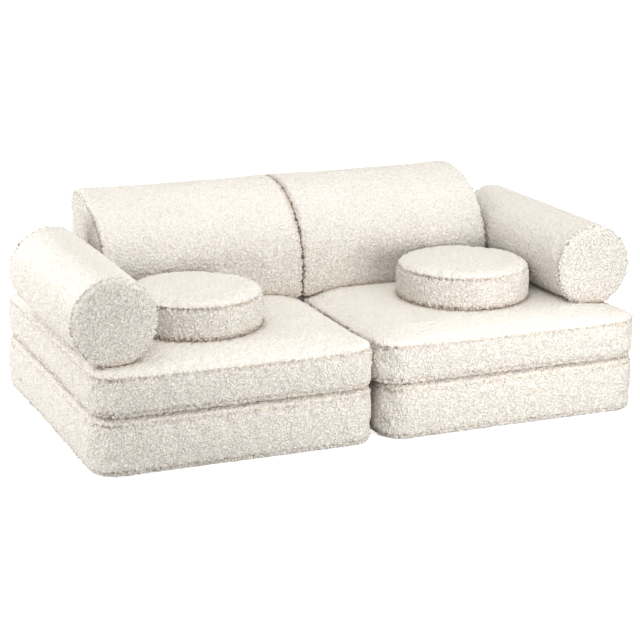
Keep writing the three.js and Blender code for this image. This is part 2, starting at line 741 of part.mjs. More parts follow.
put(
  roundCushion("left_round_cushion"),
  LEFT_BOLSTER_SIDE + LEFT_ROUND_TO_BOLSTER + ROUND_RADIUS,
  BACKREST_FRONT - LEFT_ROUND_TO_BACKREST - ROUND_RADIUS,
  SEAT_LEVEL,
);
put(
  roundCushion("right_round_cushion"),
  RIGHT_BOLSTER_SIDE - RIGHT_ROUND_TO_BOLSTER - ROUND_RADIUS,
  BACKREST_FRONT - RIGHT_ROUND_TO_BACKREST - ROUND_RADIUS,
  SEAT_LEVEL,
);

// The origin is on the floor under the middle of the sofa's bounding box
const centre = new THREE.Box3().setFromObject(sofa).getCenter(new THREE.Vector3());
sofa.position.set(-centre.x, -centre.y, 0);

const model = new THREE.Group();
model.add(sofa);

export default model;
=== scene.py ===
# Looks of the modular children's sofa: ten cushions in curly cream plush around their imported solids
import math

import bpy
import numpy as np
from mathutils import Matrix, Vector
from mathutils.bvhtree import BVHTree
from mathutils.kdtree import KDTree


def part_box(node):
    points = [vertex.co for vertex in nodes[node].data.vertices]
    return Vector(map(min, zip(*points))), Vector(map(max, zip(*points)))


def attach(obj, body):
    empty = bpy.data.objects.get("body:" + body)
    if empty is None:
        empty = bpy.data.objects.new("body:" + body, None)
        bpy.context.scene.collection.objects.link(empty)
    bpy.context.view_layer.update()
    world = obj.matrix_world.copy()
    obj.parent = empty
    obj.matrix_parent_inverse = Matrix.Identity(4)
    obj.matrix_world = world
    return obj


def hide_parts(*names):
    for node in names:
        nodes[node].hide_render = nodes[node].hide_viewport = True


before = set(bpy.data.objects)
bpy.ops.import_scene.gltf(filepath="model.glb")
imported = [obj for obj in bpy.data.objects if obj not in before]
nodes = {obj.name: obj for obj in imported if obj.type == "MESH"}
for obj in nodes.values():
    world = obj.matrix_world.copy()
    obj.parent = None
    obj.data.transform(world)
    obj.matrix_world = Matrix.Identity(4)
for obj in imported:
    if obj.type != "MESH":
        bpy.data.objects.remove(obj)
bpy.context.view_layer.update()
scene = bpy.context.scene

SIDES = ("left", "right")
ELEMENTS = ("base", "mattress", "backrest", "bolster", "round_cushion")

# Sizes of the covers in metres, as in the part's source
SEAM_DRAW = 0.0025
BASE_CORNER = 0.070
BASE_ROLL = 0.024
BASE_ROLL_DROP = 0.017
BASE_FOOT_RISE = 0.010
BASE_SIDE_DRAW = 0.003
BASE_ZIP_HEIGHT = 0.050
BASE_ZIP_SIDE = 0.170
MATTRESS_CORNER = 0.072
MATTRESS_ROLL = 0.022
MATTRESS_ROLL_DROP = 0.014
MATTRESS_FOOT_RISE = 0.010
MATTRESS_SIDE_DRAW = 0.004
MATTRESS_CROWN = 0.010
MATTRESS_CROWN_REACH = 0.095
BACKREST_ROLL_DEPTH = 0.240
BACKREST_ROLL_HEIGHT = 0.206
BACKREST_FOOT = 0.009
BACKREST_HEEL = 0.012
BACKREST_TOP_BACK = 0.042
BACKREST_CROWN = 0.004
BACKREST_END_SEAM = 0.008
BACKREST_END_PATH = [
    (0, 0.014), (0.001, 0.0088), (0.004, 0.0055), (0.008, 0.0042), (0.013, 0.0028), (0.025, 0.0014),
    (0.050, 0),
]
BACKREST_MEETING_PATH = [
    (0, 0.004), (0.001, 0.0022), (0.004, 0.0012), (0.008, 0.0008), (0.013, 0.0005), (0.025, 0.0002),
    (0.050, 0),
]
BOLSTER_RADIUS = 0.103
BOLSTER_END_SEAM = 0.0006
BOLSTER_END_PATH = [
    (0, 0.019), (0.0012, 0.0140), (0.0040, 0.0094), (0.0085, 0.0060), (0.0150, 0.0036),
    (0.0240, 0.0020), (0.040, 0.0009), (0.070, 0),
]
BOLSTER_ZIP_LENGTH = 0.460
BOLSTER_TURN = {"left": 0, "right": 1.2}
ROUND_RADIUS = 0.168
ROUND_ROLL = 0.020
ROUND_ROLL_DROP = 0.012
ROUND_FOOT_RISE = 0.010
ROUND_CROWN = 0.006
ROUND_CROWN_REACH = 0.110
ROUND_ZIP_ARC = 140.0

# Zips across the flat backs: height above the underside, and length
BACK_ZIPS = {"mattress": (0.050, 0.500), "backrest": (0.034, 0.430)}

# Mesh spacing of each element, and how many times finer the shown mesh is than the one that swells
SPACING = {
    "base": 0.0040, "mattress": 0.0033, "backrest": 0.0028, "bolster": 0.0027,
    "round_cushion": 0.0026,
}
FINER = 4

# Pile: the tufts that the mesh has, and the valley depths over which the pile turns browner, partly
# its own root tone and partly painted shade between curls
TUFT_SIZE = 0.0070
TUFT_HEIGHT = 0.0030
TUFT_ROOT_SHARE = 0.35
VALLEY_SHADE_START = 0.0003
VALLEY_SHADE_END = 0.0034
VALLEY_SHADE_AND_ROOT_SHOWN = 0.32

# Seams: the groove, how far tufts bridge it, the free room that it needs, and the fringe beside it
SEAM_WIDTH = 0.0034
SEAM_DEPTH = 0.0050
SEAM_BRIDGED = 1.15
SEAM_CLEAR = 0.0098
SEAM_FRINGE_REACH = 0.007
SEAM_FRINGE_GAIN = 2.4

# Cushions on the seat: how far they come down onto it, and how high up they give way
SETTLE_LIMIT = 0.009
SETTLE_PRESS = 0.0015
SETTLE_REACH = {"backrest": 0.07, "bolster": 0.10, "round_cushion": 0.03}

# Where two cushions touch: the room left between them, and how far off they mind each other
CONTACT_GAP = 0.0002
CONTACT_REACH = 0.020
MODULES_APART = 0.0010

# Pile where two cushions touch: tufts are longer and rooted deeper; painted shade browns the pile at
# the visible line and, fainter, wherever a neighbour is near, kept to the rim of the contact
MEETING_REACH = 0.0060
MEETING_FLUFF = 0.0013
MEETING_GAIN = 2.7
MEETING_ROOT = 0.15
MEETING_PAINTED_SHADE = 0.85
SHADE_REACH = 0.0098
SHADE_SHOWN = 0.35
RIM_ROOM = 0.0075
RIM_WIDTH = 0.020
# Free room that a face needs to count as open above, for the painted light on faces that look up
TOP_LIT_CLEAR = 0.0098

# Opening of the pile along a zip: half its width at the tape, its slope, its depth and the painted
# shade in its slot
ZIP_OPENING = 0.0018
ZIP_SLOPE = 0.0036
ZIP_DEPTH = 0.0075
ZIP_PAINTED_SHADE = 0.45


# Keeps a length that something is divided by off zero
TINY = 1e-9


# Mesh of a cushion: a grid pressed into its plan outline for the two faces, rings for its side
def press_plan(extents, radii, p, q):
    """Points of a square grid pressed into an outline with rounded corners.

    Extents are (low p, high p, low q, high q) from the grid's origin. Radii give each quadrant's
    corner along p and q. Gives the points, their depth inside the outline, and the way out."""
    high_p, high_q = p > 0, q > 0
    end_p = np.where(high_p, extents[1], extents[0])
    end_q = np.where(high_q, extents[3], extents[2])
    quadrant = high_p.astype(int) + 2 * high_q.astype(int)
    round_p = np.array([radii[k][0] for k in range(4)])[quadrant]
    round_q = np.array([radii[k][1] for k in range(4)])[quadrant]
    far_p, far_q = np.abs(p), np.abs(q)
    s = np.clip((far_p - end_p + round_p) / round_p, 0, 1)
    t = np.clip((far_q - end_q + round_q) / round_q, 0, 1)
    s_in = s * np.sqrt(1 - t * t / 2)
    t_in = t * np.sqrt(1 - s * s / 2)
    u = np.where(s > 0, end_p - round_p + round_p * s_in, far_p)
    v = np.where(t > 0, end_q - round_q + round_q * t_in, far_q)
    share = np.maximum(np.hypot(s_in, t_in), TINY)
    reach = np.hypot(round_p * s_in, round_q * t_in) / share
    corner_depth = (1 - share) * reach
    out_p, out_q = s_in / round_p, t_in / round_q
    length = np.maximum(np.hypot(out_p, out_q), TINY)
    gap_p, gap_q = end_p - u, end_q - v
    beside = gap_p < gap_q
    corner = (s > 0) & (t > 0)
    depth = np.where(corner, corner_depth, np.minimum(gap_p, gap_q))
    out_p = np.where(corner, out_p / length, beside.astype(float))
    out_q = np.where(corner, out_q / length, (~beside).astype(float))
    sign_p, sign_q = np.where(high_p, 1, -1), np.where(high_q, 1, -1)
    return (
        np.stack([sign_p * u, sign_q * v], 1),
        depth,
        np.stack([sign_p * out_p, sign_q * out_q], 1),
    )


def rolled_edge(draw, inset, drop, steps=40):
    """Arc length, inset and drop along a quarter roll, from its seam to the flat."""
    angle = np.linspace(0, math.pi / 2, steps)
    return edge_path(inset - (inset - draw) * np.cos(angle), drop * (1 - np.sin(angle)))


def edge_path(insets, drops):
    lengths = np.concatenate([[0], np.cumsum(np.hypot(np.diff(insets), np.diff(drops)))])
    return lengths, np.asarray(insets), np.asarray(drops)


def eased_path(points, steps=12):
    """Edge through the given (inset, drop) points, eased between them."""
    points = np.array(points)
    padded = np.vstack([2 * points[0] - points[1], points, 2 * points[-1] - points[-2]])
    found = []
    for k in range(1, len(padded) - 2):
        a, b, c, d = padded[k - 1:k + 3]
        for step in range(steps):
            t = step / steps
            found.append(0.5 * (2 * b + (c - a) * t + (2 * a - 5 * b + 4 * c - d) * t**2
                                + (3 * b - a - 3 * c + d) * t**3))
    found = np.array(found + [points[-1]])
    return edge_path(found[:, 0], found[:, 1])


def face_patch(extents, radii, counts, edge):
    """One face of a cushion: plan points, depth along the edge, inset, drop from the flat, rim."""
    lengths, insets, drops = edge
    spare = lengths[-1] - insets[-1]
    wide = [reach + spare for reach in extents]
    wide_radii = [(a + spare, b + spare) for a, b in radii]
    p = np.linspace(-wide[0], wide[1], counts[0] + 1)
    q = np.linspace(-wide[2], wide[3], counts[1] + 1)
    grid_p, grid_q = np.meshgrid(p, q, indexing="ij")
    points, depth, out = press_plan(wide, wide_radii, grid_p.ravel(), grid_q.ravel())
    inset = np.interp(depth, lengths, insets)
    drop = np.interp(depth, lengths, drops)
    shift = np.where(depth < lengths[-1], spare + inset - depth, 0)
    rim = points - out * spare
    inset = inset + np.maximum(depth - lengths[-1], 0)
    return points - out * shift[:, None], depth, inset, drop, rim


def grid_loop(columns, rows):
    at = lambda i, j: i * (rows + 1) + j
    loop = [at(i, 0) for i in range(columns)] + [at(columns, j) for j in range(rows)]
    loop += [at(columns - i, rows) for i in range(columns)]
    return np.array(loop + [at(0, rows - j) for j in range(rows)])


def pad_counts(extents, height, low_edge, high_edge, spacing):
    spare = high_edge[0][-1] - high_edge[1][-1]
    wide = [extents[0] + extents[1] + 2 * spare, extents[2] + extents[3] + 2 * spare]
    side = height - low_edge[2][0] - high_edge[2][0]
    return [max(2, round(size / spacing)) for size in (*wide, side)]


def pad_points(extents, radii, height, low_edge, high_edge, counts, low_seam=0, high_seam=0):
    """Points of a cushion with plan axes p and q, and its height from 0 up, with each point's
    inset from the outline and the way along the surface to its nearest seam."""
    columns, rows, levels = counts
    high, high_depth, high_inset, high_drop, rim = face_patch(
        extents, radii, (columns, rows), high_edge)
    low, low_depth, low_inset, low_drop, low_rim = face_patch(
        extents, radii, (columns, rows), low_edge)
    loop = grid_loop(columns, rows)
    bottom, top = low_edge[2][0], height - high_edge[2][0]
    points = [np.column_stack([low, low_drop]), np.column_stack([high, height - high_drop])]
    insets = [low_inset, high_inset]
    seams = [np.abs(low_depth - low_seam), np.abs(high_depth - high_seam)]
    toward = high[loop] - rim[loop]
    toward /= np.maximum(np.linalg.norm(toward, axis=1), TINY)[:, None]
    for level in range(1, levels):
        share = level / levels
        draw = (low_edge if share < 0.5 else high_edge)[1][0]
        bulge = draw * (2 * share - 1) ** 2
        ring = low_rim[loop] * (1 - share) + rim[loop] * share + toward * bulge
        level_height = bottom + (top - bottom) * share
        points.append(np.column_stack([ring, np.full(len(loop), level_height)]))
        insets.append(np.full(len(loop), bulge))
        gap = min(level_height - bottom + low_seam, top - level_height + high_seam)
        seams.append(np.full(len(loop), gap))
    return np.vstack(points), np.concatenate(insets), np.concatenate(seams)


def pad_faces(counts):
    columns, rows, levels = counts
    loop = grid_loop(columns, rows)
    face_count = (columns + 1) * (rows + 1)
    i, j = np.meshgrid(np.arange(columns), np.arange(rows), indexing="ij")
    corner = (i * (rows + 1) + j).ravel()
    quads = np.stack([corner, corner + rows + 1, corner + rows + 2, corner + 1], 1)
    rings = [loop]
    for level in range(1, levels):
        rings.append(2 * face_count + (level - 1) * len(loop) + np.arange(len(loop)))
    rings.append(face_count + loop)
    sides = [np.stack([a, np.roll(a, -1), np.roll(b, -1), b], 1) for a, b in zip(rings, rings[1:])]
    return np.vstack([quads[:, ::-1], quads + face_count, *sides])


def cubic_weights(count, times, closed):
    """Rows of weights that turn values at count places into values at times as many."""
    size = count if closed else count + 1
    rows = count * times if closed else count * times + 1
    weights = np.zeros((rows, size))
    for row in range(rows):
        k, t = divmod(row, times)
        t /= times
        shares = (
            (-t + 2 * t * t - t**3) / 2, (2 - 5 * t * t + 3 * t**3) / 2,
            (t + 4 * t * t - 3 * t**3) / 2, (t**3 - t * t) / 2,
        )
        for step, share in enumerate(shares):
            place = k + step - 1
            place = place % size if closed else min(max(place, 0), size - 1)
            weights[row, place] += share
    return weights


def refine(values, counts, times):
    """Values at the points of a coarse cushion, carried over to the finer one."""
    columns, rows, levels = counts
    face_count = (columns + 1) * (rows + 1)
    across = cubic_weights(columns, times, False)
    along = cubic_weights(rows, times, False)
    found = []
    for k in range(2):
        patch = values[k * face_count:(k + 1) * face_count].reshape(columns + 1, rows + 1, -1)
        patch = np.einsum("ai,ijk->ajk", across, patch)
        found.append(np.einsum("bj,ajk->abk", along, patch).reshape(-1, values.shape[1]))
    loop = grid_loop(columns, rows)
    middle_rings = values[2 * face_count:].reshape(levels - 1, len(loop), -1)
    rings = np.concatenate([values[loop][None], middle_rings, values[face_count + loop][None]])
    rings = np.einsum("ai,ijk->ajk", cubic_weights(levels, times, False), rings)
    rings = np.einsum("bj,ajk->abk", cubic_weights(len(loop), times, True), rings)
    found.append(rings[1:-1].reshape(-1, values.shape[1]))
    return np.vstack(found)


def smooth(x):
    x = np.clip(x, 0, 1)
    return x * x * (3 - 2 * x)


def new_object(name, points, faces):
    mesh = bpy.data.meshes.new(name)
    corners = [tuple(map(float, point)) for point in points]
    mesh.from_pydata(corners, [], [tuple(map(int, face)) for face in faces])
    mesh.update()
    made = bpy.data.objects.new(name, mesh)
    scene.collection.objects.link(made)
    return made


def get_points(mesh, what="co"):
    """Places of a mesh's points, or their normals."""
    flat = np.empty(len(mesh.vertices) * 3, np.float32)
    mesh.vertices.foreach_get(what, flat)
    return flat.reshape(-1, 3).astype(float)


def set_points(mesh, points):
    mesh.vertices.foreach_set("co", points.astype(np.float32).ravel())
    mesh.update()


def baked_mesh(made):
    """The object's mesh with its modifiers applied, and the modifiers removed."""
    bpy.context.view_layer.update()
    evaluated = made.evaluated_get(bpy.context.evaluated_depsgraph_get())
    mesh = bpy.data.meshes.new_from_object(evaluated)
    old = made.data
    made.modifiers.clear()
    made.data = mesh
    bpy.data.meshes.remove(old)
    mesh.name = made.name
    return mesh


# Swelling of the cover between its seams, by cloth simulation with pressure from inside
CLOTH_FRAMES = 16
CLOTH_PRESSURE = 4.0
CLOTH_MASS = 0.3
CLOTH_TENSION = 12.0
CLOTH_BENDING = 1.5
CLOTH_SHRINK = -0.012
CLOTH_QUALITY = 5
SWELL_CAP = {
    "base": 0.004, "mattress": 0.006, "backrest": 0.005, "bolster": 0.003, "round_cushion": 0.005,
}


def swell(name, points, faces, held, cap):
    """How far each point of a cushion moves when its cover swells, at most about the cap."""
    made = new_object(name, points, faces)
    group = made.vertex_groups.new(name="held")
    group.add([int(i) for i in np.nonzero(held)[0]], 1.0, "REPLACE")
    cloth = made.modifiers.new("swell", "CLOTH")
    settings = cloth.settings
    settings.quality = CLOTH_QUALITY
    settings.mass = CLOTH_MASS
    settings.tension_stiffness = CLOTH_TENSION
    settings.compression_stiffness = CLOTH_TENSION
    settings.bending_stiffness = CLOTH_BENDING
    settings.shrink_min = CLOTH_SHRINK
    settings.use_pressure = True
    settings.uniform_pressure_force = CLOTH_PRESSURE
    settings.vertex_group_mass = "held"
    settings.effector_weights.gravity = 0
    cloth.collision_settings.use_collision = False
    cloth.point_cache.frame_start = 1
    cloth.point_cache.frame_end = CLOTH_FRAMES
    for step in range(1, CLOTH_FRAMES + 1):
        scene.frame_set(step)
    moved = get_points(baked_mesh(made)) - points
    scene.frame_set(1)
    bpy.data.objects.remove(made)
    length = np.maximum(np.linalg.norm(moved, axis=1), TINY)
    return moved * (cap * np.tanh(length / cap) / length)[:, None]


# Places of the cushions, from their packed covers, and the plane where the two modules meet
MODULES_MEET = (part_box("left_backrest_cover")[1].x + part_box("right_backrest_cover")[0].x) / 2
LEFT_STOP = MODULES_MEET - MODULES_APART / 2
RIGHT_STOP = MODULES_MEET + MODULES_APART / 2


def middle(low, high):
    return (low + high) / 2


def swollen_box(side, element):
    """Box of a cushion. The two mattresses lie against each other between the modules."""
    low, high = (corner.copy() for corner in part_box(f"{side}_{element}_cover"))
    if element == "mattress" and side == "left":
        high.x = LEFT_STOP
    if element == "mattress" and side == "right":
        low.x = RIGHT_STOP
    return low, high


def boxed_place(side, element):
    low, high = swollen_box(side, element)
    centre = middle(low, high)
    return Matrix.Translation((centre.x, centre.y, low.z)), high - low


def backrest_place(side):
    low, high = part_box(f"{side}_backrest_cover")
    # Plan axes run along the depth and the height, and the mesh's height along the width
    turned = Matrix(((0, 0, 1, low.x), (1, 0, 0, low.y), (0, 1, 0, low.z), (0, 0, 0, 1)))
    return turned, high - low


def bolster_place(side):
    low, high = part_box(f"{side}_bolster_cover")
    centre = middle(low, high)
    turn = math.radians(BOLSTER_TURN[side])
    length = (high.y - low.y - 2 * BOLSTER_RADIUS * math.sin(turn)) / math.cos(turn)
    axis = Matrix.Rotation(turn, 4, "Z")
    lie = Matrix(((1, 0, 0, 0), (0, 0, -1, 0), (0, 1, 0, 0), (0, 0, 0, 1)))
    place = Matrix.Translation((centre.x, centre.y, high.z - BOLSTER_RADIUS)) @ axis @ lie
    return place @ Matrix.Translation((0, 0, -length / 2)), length


def round_place(side):
    low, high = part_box(f"{side}_round_cushion_cover")
    return Matrix.Translation(((low.x + high.x) / 2, low.y + ROUND_RADIUS, low.z)), high.z - low.z


def apply_place(points, place):
    matrix = np.array(place)
    return points @ matrix[:3, :3].T + matrix[:3, 3]


def side_draw(points, half_x, half_y, draw, full_side=0):
    """Front and sides pulled in between their corners; the back stays straight, and so does the
    side that meets a neighbour, 1 or -1 along X."""
    x, y = points[:, 0].copy(), points[:, 1].copy()
    along_y = np.cos(np.clip(y / half_y, -1, 1) * math.pi / 2)
    along_x = np.cos(np.clip(x / half_x, -1, 1) * math.pi / 2)
    drawn = draw * along_y * (x / half_x) ** 3
    points[:, 0] = x - np.where(x * full_side > 0, 0, drawn)
    points[:, 1] = y + draw * along_x * np.clip(-y / half_y, 0, 1) ** 3
    return points


def crown_share(half, roll, x, y):
    """How near the seat is to its full crown at a place, and the way in from its edge roll."""
    gap_x, gap_y = half.x - roll - np.abs(x), half.y - roll - np.abs(y)
    share = smooth(gap_x / MATTRESS_CROWN_REACH) * smooth(gap_y / MATTRESS_CROWN_REACH)
    return share, np.minimum(gap_x, gap_y)


BOXED_SIZES = {
    "base": (BASE_CORNER, BASE_ROLL, BASE_ROLL_DROP, BASE_FOOT_RISE, 0, BASE_SIDE_DRAW),
    "mattress": (
        MATTRESS_CORNER, MATTRESS_ROLL, MATTRESS_ROLL_DROP, MATTRESS_FOOT_RISE, MATTRESS_CROWN,
        MATTRESS_SIDE_DRAW,
    ),
}


def boxed_form(side, element):
    place, size = boxed_place(side, element)
    corner, roll, drop, rise, crown, draw = BOXED_SIZES[element]
    half = size / 2
    meets = 0
    if element == "mattress":
        meets = 1 if side == "left" else -1

    def finish(points, inset):
        share, _ = crown_share(half, roll, points[:, 0], points[:, 1])
        upper = points[:, 2] > size.z / 2
        points[:, 2] += np.where(upper, crown * share, 0)
        return side_draw(points, half.x, half.y, draw, meets)

    return {
        "extents": [half.x, half.x, half.y, half.y],
        "radii": [(corner, corner)] * 4,
        "height": size.z - crown,
        "low_edge": rolled_edge(SEAM_DRAW, roll, rise),
        "high_edge": rolled_edge(SEAM_DRAW, roll, drop),
    }, finish, place


def backrest_form(side):
    place, size = backrest_place(side)
    extents = [
        BACKREST_ROLL_DEPTH, size.y - BACKREST_ROLL_DEPTH,
        size.z - BACKREST_ROLL_HEIGHT, BACKREST_ROLL_HEIGHT,
    ]
    low_edge, high_edge = eased_path(BACKREST_END_PATH), eased_path(BACKREST_MEETING_PATH)
    if side == "right":
        low_edge, high_edge = high_edge, low_edge

    def finish(points, inset):
        across = points[:, 2] / size.x * 2 - 1
        ease = BACKREST_CROWN * (1 - np.sqrt(np.maximum(1 - across**2, 0)))
        points[:, 0] += ease * np.clip(-points[:, 0] / extents[0], 0, 1)
        points[:, 1] -= ease * np.clip(points[:, 1] / extents[3], 0, 1)
        points[:, 0] += extents[0]
        points[:, 1] += extents[2]
        return points

    return {
        "extents": extents,
        "radii": [
            (BACKREST_FOOT, BACKREST_FOOT),
            (BACKREST_HEEL, BACKREST_HEEL),
            (BACKREST_ROLL_DEPTH, BACKREST_ROLL_HEIGHT),
            (BACKREST_TOP_BACK, BACKREST_TOP_BACK),
        ],
        "height": size.x,
        "low_edge": low_edge,
        "high_edge": high_edge,
        "low_seam": seam_place(low_edge, BACKREST_END_SEAM),
        "high_seam": seam_place(high_edge, BACKREST_END_SEAM),
    }, finish, place


def seam_place(edge, inset):
    """Arc length at which an edge comes to the seam's inset."""
    return float(np.interp(inset, edge[1], edge[0]))


def bolster_form(side):
    place, length = bolster_place(side)
    edge = eased_path(BOLSTER_END_PATH)
    seam = seam_place(edge, BOLSTER_END_SEAM)
    return {
        "extents": [BOLSTER_RADIUS] * 4,
        "radii": [(BOLSTER_RADIUS, BOLSTER_RADIUS)] * 4,
        "height": length,
        "low_edge": edge,
        "high_edge": edge,
        "low_seam": seam,
        "high_seam": seam,
    }, lambda points, inset: points, place


def round_form(side):
    place, height = round_place(side)

    def finish(points, inset):
        crown = ROUND_CROWN * smooth((inset - ROUND_ROLL) / ROUND_CROWN_REACH)
        points[:, 2] += np.where(points[:, 2] > height / 2, crown, 0)
        return points

    return {
        "extents": [ROUND_RADIUS] * 4,
        "radii": [(ROUND_RADIUS, ROUND_RADIUS)] * 4,
        "height": height - ROUND_CROWN,
        "low_edge": rolled_edge(SEAM_DRAW, ROUND_ROLL, ROUND_FOOT_RISE),
        "high_edge": rolled_edge(SEAM_DRAW, ROUND_ROLL, ROUND_ROLL_DROP),
    }, finish, place


def make_form(side, element):
    forms = {"backrest": backrest_form, "bolster": bolster_form, "round_cushion": round_form}
    return forms[element](side) if element in forms else boxed_form(side, element)


def seat_height(side, x, y):
    """Height of the crowned seat under a place."""
    low, high = swollen_box(side, "mattress")
    centre, half = middle(low, high), (high - low) / 2
    share, inward = crown_share(half, MATTRESS_ROLL, x - centre.x, y - centre.y)
    past = np.clip(-inward / (MATTRESS_ROLL - SEAM_DRAW), 0, 1)
    fall = MATTRESS_ROLL_DROP * (1 - np.sqrt(1 - past * past))
    return high.z - MATTRESS_CROWN * (1 - share) - fall


def settle(points, side, element):
    """Lower part of a cushion let down onto the seat that it lies on."""
    if element not in SETTLE_REACH:
        return points
    x, y, z = points.T
    low = z.min()
    if element == "bolster":
        cad_box_low, cad_box_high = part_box(f"{side}_bolster_cover")
        centre = middle(cad_box_low, cad_box_high)
        turn = math.radians(BOLSTER_TURN[side])
        x = centre.x - (y - centre.y) * math.tan(turn)
    gap = np.clip(low - seat_height(side, x, y), 0, SETTLE_LIMIT) + SETTLE_PRESS
    points[:, 2] -= gap * smooth(1 - (z - low) / SETTLE_REACH[element])
    return points


def cover_points(side, element, counts):
    form, finish, place = make_form(side, element)
    points, inset, seam = pad_points(**form, counts=counts)
    return settle(apply_place(finish(points, inset), place), side, element), seam


def smooth_cover(side, element):
    """Points, faces and seam distances of a cover, swollen between its seams but without pile."""
    form, _, place = make_form(side, element)
    edges = (form["extents"], form["height"], form["low_edge"], form["high_edge"])
    coarse = pad_counts(*edges, SPACING[element] * FINER)
    counts = [count * FINER for count in coarse]
    points, seam = cover_points(side, element, counts)
    flip = 1 if place.determinant() > 0 else -1
    rough, rough_seam = cover_points(side, element, coarse)
    held = rough_seam < SPACING[element]
    held[:(coarse[0] + 1) * (coarse[1] + 1)] |= element not in ("backrest", "bolster")
    faces = pad_faces(coarse)[:, ::flip]
    moved = swell(f"{side}_{element}_swell", rough, faces, held, SWELL_CAP[element])
    points = points + refine(moved, coarse, FINER)
    # Neither module swells past the plane where the two meet
    if side == "left":
        points[:, 0] = np.minimum(points[:, 0], LEFT_STOP)
    else:
        points[:, 0] = np.maximum(points[:, 0], RIGHT_STOP)
    return points, pad_faces(counts)[:, ::flip], seam


def find_room(points, others):
    """How far each point may rise before it meets the face of a neighbour halfway."""
    room = np.full(len(points), CONTACT_REACH)
    for tree, low, high in others:
        close = np.all((points > low - CONTACT_REACH) & (points < high + CONTACT_REACH), axis=1)
        for i in np.nonzero(close)[0]:
            point = Vector(points[i])
            place, normal, _, distance = tree.find_nearest(point, CONTACT_REACH)
            if place is not None:
                apart = distance if (point - place).dot(normal) >= 0 else -distance
                room[i] = min(room[i], apart / 2 - CONTACT_GAP)
    return room


def rim_share(points, room):
    """1 on open faces, falling to 0 well inside the places that a neighbour covers."""
    share = np.ones(len(points))
    tight = np.nonzero(room < RIM_ROOM)[0]
    loose = np.nonzero((room >= RIM_ROOM) & (room < CONTACT_REACH))[0]
    if len(loose) == 0:
        return share
    tree = KDTree(len(loose))
    for i in loose:
        tree.insert(points[i], int(i))
    tree.balance()
    for i in tight:
        share[i] = math.exp(-(tree.find(points[i])[2] / RIM_WIDTH) ** 2)
    return share


def zip_nearness(points, name):
    """How open the pile is at each point for the zip under it, from 0 to 1."""
    cad = nodes[name]
    tree = BVHTree.FromObject(cad, bpy.context.evaluated_depsgraph_get())
    low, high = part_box(name)
    reach = ZIP_OPENING + ZIP_SLOPE
    near = np.zeros(len(points))
    close = np.all((points > np.array(low) - reach) & (points < np.array(high) + reach), axis=1)
    for i in np.nonzero(close)[0]:
        place, _, _, distance = tree.find_nearest(Vector(points[i]), reach)
        if place is not None:
            near[i] = (reach - distance) / ZIP_SLOPE
    return smooth(near)


def cover_mesh(side, element, covers):
    """The shown cover: drawn in at its seams, open at its zip, and flat against its neighbours."""
    points, faces, seam = covers[side, element]
    made = new_object(f"{side}_{element}_plush", points, faces)
    normals = get_points(made.data, "normal")
    others = []
    for key, (other, other_faces, _) in covers.items():
        low, high = other.min(0), other.max(0)
        apart = np.maximum(low - points.max(0), points.min(0) - high).max()
        if key != (side, element) and apart < CONTACT_REACH:
            tree = BVHTree.FromPolygons(other.tolist(), other_faces.tolist())
            others.append((tree, low, high))
    room = find_room(points, others)
    opened = zip_nearness(points, f"{side}_{element}_zip")
    groove = SEAM_DEPTH * np.exp(-(seam / SEAM_WIDTH) ** 2) * smooth(room / SEAM_CLEAR)
    sunk = opened * ZIP_DEPTH
    set_points(made.data, points - normals * sunk[:, None])
    # The rim share keeps the painted shade to the visible line of each contact
    rim = rim_share(points, room)
    # Faces that look up and lie open get the painted top light that evens their valley shade
    open_above = np.maximum(smooth(room / TOP_LIT_CLEAR), 1 - rim)
    values = {
        "fringe": SEAM_FRINGE_GAIN * np.exp(-(seam / SEAM_FRINGE_REACH) ** 2),
        "groove": groove,
        "room": room + sunk,
        "bare": opened,
        "rim": rim,
        "top_lit": smooth(normals[:, 2]) * open_above,
    }
    for name, value in values.items():
        add_values(made.data, name, value)
    return made


def add_values(mesh, name, values):
    """A number or a vector for each point, under a name."""
    kind, field = ("FLOAT", "value") if values.ndim == 1 else ("FLOAT_VECTOR", "vector")
    attribute = mesh.attributes.new(name, kind, "POINT")
    attribute.data.foreach_set(field, values.astype(np.float32).ravel())


# Node helpers
def feed(made, inputs):
    """Links a node's inputs to other nodes, or sets them."""
    for key, value in inputs.items():
        if isinstance(value, bpy.types.NodeSocket):
            made.id_data.links.new(value, made.inputs[key])
        else:
            made.inputs[key].default_value = value


def node(tree, kind, inputs=None, **settings):
    made = tree.nodes.new(kind)
    for key, value in settings.items():
        setattr(made, key, value)
    feed(made, inputs or {})
    return made


def maths(tree, operation, *values):
    return node(tree, "ShaderNodeMath", dict(enumerate(values)), operation=operation).outputs[0]


def vector_maths(tree, operation, *values, **named):
    inputs = {**dict(enumerate(values)), **named}
    return node(tree, "ShaderNodeVectorMath", inputs, operation=operation).outputs[0]


def map_range(tree, value, span, target):
    """A value carried from one span of numbers to another, and held at its ends."""
    limits = {"From Min": span[0], "From Max": span[1], "To Min": target[0], "To Max": target[1]}
    return node(tree, "ShaderNodeMapRange", {"Value": value, **limits}).outputs[0]


def mix_colour(tree, factor, first, second):
    mixed = node(tree, "ShaderNodeMix", {"Factor": factor, 6: first, 7: second}, data_type="RGBA")
    return mixed.outputs[2]


def sized_tree(name, sizes):
    """A tree that takes and gives geometry, with a named input for each size."""
    tree = bpy.data.node_groups.new(name, "GeometryNodeTree")
    face = tree.interface
    face.new_socket("Geometry", in_out="INPUT", socket_type="NodeSocketGeometry")
    for label, value in sizes.items():
        socket = face.new_socket(label, in_out="INPUT", socket_type="NodeSocketFloat")
        socket.default_value = value
    face.new_socket("Geometry", in_out="OUTPUT", socket_type="NodeSocketGeometry")
    return tree, node(tree, "NodeGroupInput").outputs


def read_attribute(tree, name, kind="FLOAT"):
    return node(tree, "GeometryNodeInputNamedAttribute", {"Name": name}, data_type=kind).outputs[0]


# Curls: how wide and how far their places wander, how soft their edges are, and how their height
# falls from the middle of a curl outwards
CURL_WANDER_SCALE = 0.7
CURL_WANDER = 2.2
CURL_SOFTNESS = 0.25
CURL_FALL = -1.35
CURL_PEAK = 1.05


